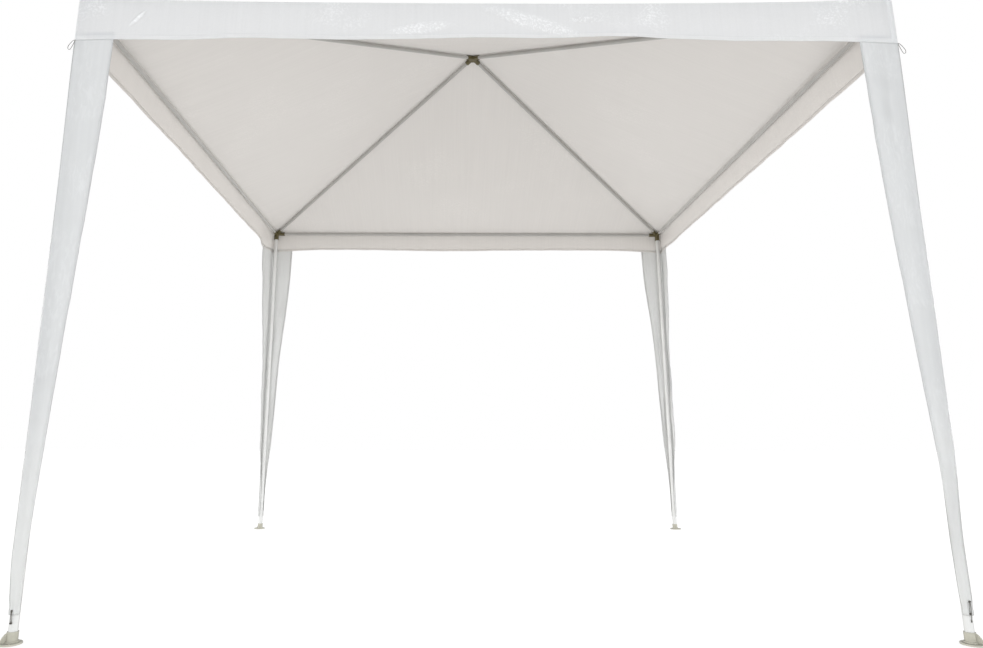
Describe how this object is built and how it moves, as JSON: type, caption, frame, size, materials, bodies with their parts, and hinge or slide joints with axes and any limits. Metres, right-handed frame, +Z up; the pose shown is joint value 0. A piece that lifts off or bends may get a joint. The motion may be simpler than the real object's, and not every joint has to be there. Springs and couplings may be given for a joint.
{
  "type": "marquee tent",
  "caption": "Square push-fit party tent with a pyramid sheet roof, short valance and tapering leg covers over a round-tube frame.",
  "frame": {"origin": "middle of the square plan, on the level that the feet stand on", "axes": "+Z up, the front (nearest the viewer) towards -Y, +X to the right"},
  "size_m": [2.7754, 2.7754, 2.6074],
  "materials": {
    "white_tube": "white powder coat on thin steel tube, satin",
    "dark_connector": "dark olive brown moulded plastic, fine matt",
    "beige_foot": "warm grey moulded plastic, slightly translucent",
    "white_sheet": "white woven polyethylene sheet, coated, creased and half glossy"
  },
  "bodies": {
    "root": {"peak_connector": "dark_connector", "corner_connector_front_left": "dark_connector", "corner_connector_front_right": "dark_connector", "corner_connector_back_right": "dark_connector", "corner_connector_back_left": "dark_connector", "foot_plate_front_left": "beige_foot", "foot_plate_front_right": "beige_foot", "foot_plate_back_right": "beige_foot", "foot_plate_back_left": "beige_foot", "leg_lower_front_left": "white_tube", "leg_upper_front_left": "white_tube", "leg_lower_front_right": "white_tube", "leg_upper_front_right": "white_tube", "leg_lower_back_right": "white_tube", "leg_upper_back_right": "white_tube", "leg_lower_back_left": "white_tube", "leg_upper_back_left": "white_tube", "eave_tube_front_left": "white_tube", "eave_tube_left_front": "white_tube", "eave_tube_right_front": "white_tube", "eave_tube_front_right": "white_tube", "eave_tube_back_right": "white_tube", "eave_tube_right_back": "white_tube", "eave_tube_left_back": "white_tube", "eave_tube_back_left": "white_tube", "rafter_lower_front_left": "white_tube", "rafter_upper_front_left": "white_tube", "rafter_lower_front_right": "white_tube", "rafter_upper_front_right": "white_tube", "rafter_lower_back_right": "white_tube", "rafter_upper_back_right": "white_tube", "rafter_lower_back_left": "white_tube", "rafter_upper_back_left": "white_tube", "roof_panel_front": "white_sheet", "roof_panel_right": "white_sheet", "roof_panel_back": "white_sheet", "roof_panel_left": "white_sheet", "valance_front": "white_sheet", "valance_right": "white_sheet", "valance_back": "white_sheet", "valance_left": "white_sheet", "leg_cover_front_left": "white_sheet", "leg_cover_front_right": "white_sheet", "leg_cover_back_right": "white_sheet", "leg_cover_back_left": "white_sheet"}
  },
  "joints": []
}
